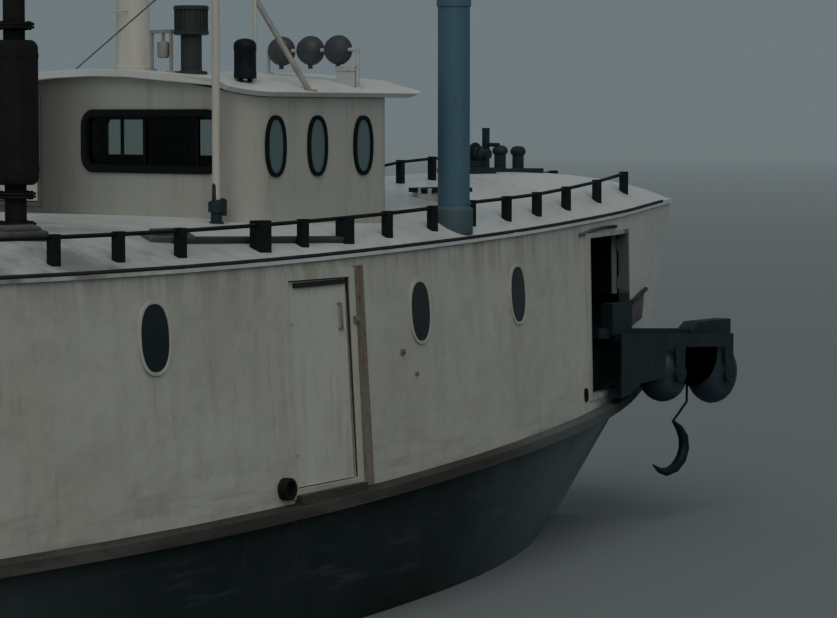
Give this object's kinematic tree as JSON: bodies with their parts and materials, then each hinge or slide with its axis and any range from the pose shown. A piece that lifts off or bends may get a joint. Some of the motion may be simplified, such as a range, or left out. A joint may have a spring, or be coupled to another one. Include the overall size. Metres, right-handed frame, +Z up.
{
  "type": "gillnetter fishing boat",
  "caption": "Steel gillnetter, afloat: round-bilge hull with guard, enclosed topsides under a cambered turtleback deck, wheelhouse, silencer, mast, rails, windlass and net rollers over the bow.",
  "frame": {"origin": "on the centreline at the waterline, near midships", "axes": "+X towards the bow, +Y to port, +Z up"},
  "size_m": [18, 5.7474, 9.125],
  "materials": {
    "hull_paint": "weathered satin",
    "guard_steel": "scraped, rusty",
    "white_paint": "dirty, rust-streaked",
    "deck_paint": "chalky",
    "black_paint": "satin",
    "roller_rubber": "wet",
    "lamp_rubber": "satin",
    "mast_paint": "satin",
    "cream_paint": "satin",
    "bare_steel": "dull",
    "rusty_steel": "sooty, rusty",
    "grey_paint": "matte",
    "window_glass": "clear",
    "screw_bronze": "dull"
  },
  "bodies": {
    "boat": {"hull_lower": "hull_paint", "engine_block": "bare_steel", "rub_rail": "guard_steel", "stem_bar": "white_paint", "side_starboard": "white_paint", "side_port": "white_paint", "stern_wall": "white_paint", "turtleback_deck": "deck_paint", "side_door_frame_starboard": "white_paint", "side_door_frame_port": "white_paint", "bow_door_frame": "white_paint", "stern_door_frame": "white_paint", "wheelhouse_aft_wall": "white_paint", "wheelhouse_front_wall": "white_paint", "wheelhouse_side_starboard": "white_paint", "wheelhouse_side_port": "white_paint", "wheelhouse_roof": "white_paint", "wheelhouse_floor": "grey_paint", "aft_window_pane": "window_glass", "front_window_port_side": "window_glass", "front_window_centre": "window_glass", "front_window_starboard_side": "window_glass", "wheelhouse_door_frame": "white_paint", "helm_console": "grey_paint", "helm_chair": "black_paint", "rail_starboard_fore": "black_paint", "rail_starboard_aft": "black_paint", "rail_port": "black_paint", "rail_foredeck": "black_paint", "foremast": "mast_paint", "roof_mast": "cream_paint", "deck_pole": "cream_paint", "roof_pole": "cream_paint", "roof_strut": "rusty_steel", "roof_vent": "black_paint", "roof_bracket": "grey_paint", "roof_canister": "black_paint", "roof_lamp_row": "lamp_rubber", "silencer": "rusty_steel", "windlass_frame": "black_paint", "foredeck_bitts": "black_paint", "foredeck_hatch_coaming": "white_paint", "deck_pipe": "grey_paint", "side_outlet": "rusty_steel", "bow_roller_frame": "black_paint", "pickup_hook": "black_paint"},
    "side_door_starboard_leaf": {"side_door_starboard": "white_paint"},
    "side_door_port_leaf": {"side_door_port": "white_paint"},
    "bow_door": {"bow_door_leaf": "white_paint"},
    "stern_door_starboard_leaf": {"stern_door_starboard": "white_paint"},
    "stern_door_port_leaf": {"stern_door_port": "white_paint"},
    "wheelhouse_door_leaf": {"wheelhouse_door": "white_paint"},
    "helm_wheel": {"steering_wheel": "black_paint"},
    "windlass_barrel": {"windlass_drum": "black_paint"},
    "hatch_lid": {"foredeck_hatch_lid": "black_paint"},
    "roller_aft": {"bow_roller_aft": "roller_rubber"},
    "roller_fore": {"bow_roller_fore": "roller_rubber"},
    "screw": {"propeller": "screw_bronze"},
    "rudder_blade": {"rudder": "hull_paint"}
  },
  "joints": [
    {"name": "side_door_starboard_hinge", "type": "hinge", "parent": "boat", "child": "side_door_starboard_leaf", "pos_m": [0.5302, -2.47284, 2.01775], "axis": [0, -0.0619, -0.9981], "range_deg": [0, 100]},
    {"name": "side_door_port_hinge", "type": "hinge", "parent": "boat", "child": "side_door_port_leaf", "pos_m": [0.5302, 2.47284, 2.01775], "axis": [0, -0.0619, 0.9981], "range_deg": [0, 100]},
    {"name": "bow_door_hinge", "type": "hinge", "parent": "boat", "child": "bow_door", "pos_m": [7.44224, -0.75113, 2.16525], "axis": [0, -0.0243, -0.9997], "range_deg": [-150, 0]},
    {"name": "stern_door_starboard_hinge", "type": "hinge", "parent": "boat", "child": "stern_door_starboard_leaf", "pos_m": [-8.47719, -0.762, 2.12877], "axis": [-0.0627, 0, 0.998], "range_deg": [0, 110]},
    {"name": "stern_door_port_hinge", "type": "hinge", "parent": "boat", "child": "stern_door_port_leaf", "pos_m": [-8.47719, 0.762, 2.12877], "axis": [0.0627, 0, -0.998], "range_deg": [0, 110]},
    {"name": "wheelhouse_door_hinge", "type": "hinge", "parent": "boat", "child": "wheelhouse_door_leaf", "pos_m": [0.844, 1.352, 3.80906], "axis": [0, 0, -1], "range_deg": [0, 100]},
    {"name": "helm", "type": "hinge", "parent": "boat", "child": "helm_wheel", "pos_m": [1.6767, 0, 3.21892], "axis": [-0.9363, 0, 0.3511], "range_deg": [-540, 540]},
    {"name": "windlass_turn", "type": "hinge", "parent": "boat", "child": "windlass_barrel", "pos_m": [5.9, 0, 3.73659], "axis": [0, 1, 0], "continuous": true},
    {"name": "hatch_hinge", "type": "hinge", "parent": "boat", "child": "hatch_lid", "pos_m": [3.758, -1.2, 3.44645], "axis": [0, -1, 0], "range_deg": [0, 100]},
    {"name": "bow_roller_aft_turn", "type": "hinge", "parent": "boat", "child": "roller_aft", "pos_m": [7.66, -1.15, 1.524], "axis": [0, 1, 0], "continuous": true},
    {"name": "bow_roller_fore_turn", "type": "hinge", "parent": "boat", "child": "roller_fore", "pos_m": [8.57, -1.15, 1.461], "axis": [0, 1, 0], "continuous": true},
    {"name": "propeller_shaft", "type": "hinge", "parent": "boat", "child": "screw", "pos_m": [-6.67, 0, -1.01], "axis": [1, 0, 0], "continuous": true},
    {"name": "rudder_stock", "type": "hinge", "parent": "boat", "child": "rudder_blade", "pos_m": [-7.35, 0, -0.86], "axis": [0, 0, 1], "range_deg": [-35, 35]}
  ]
}
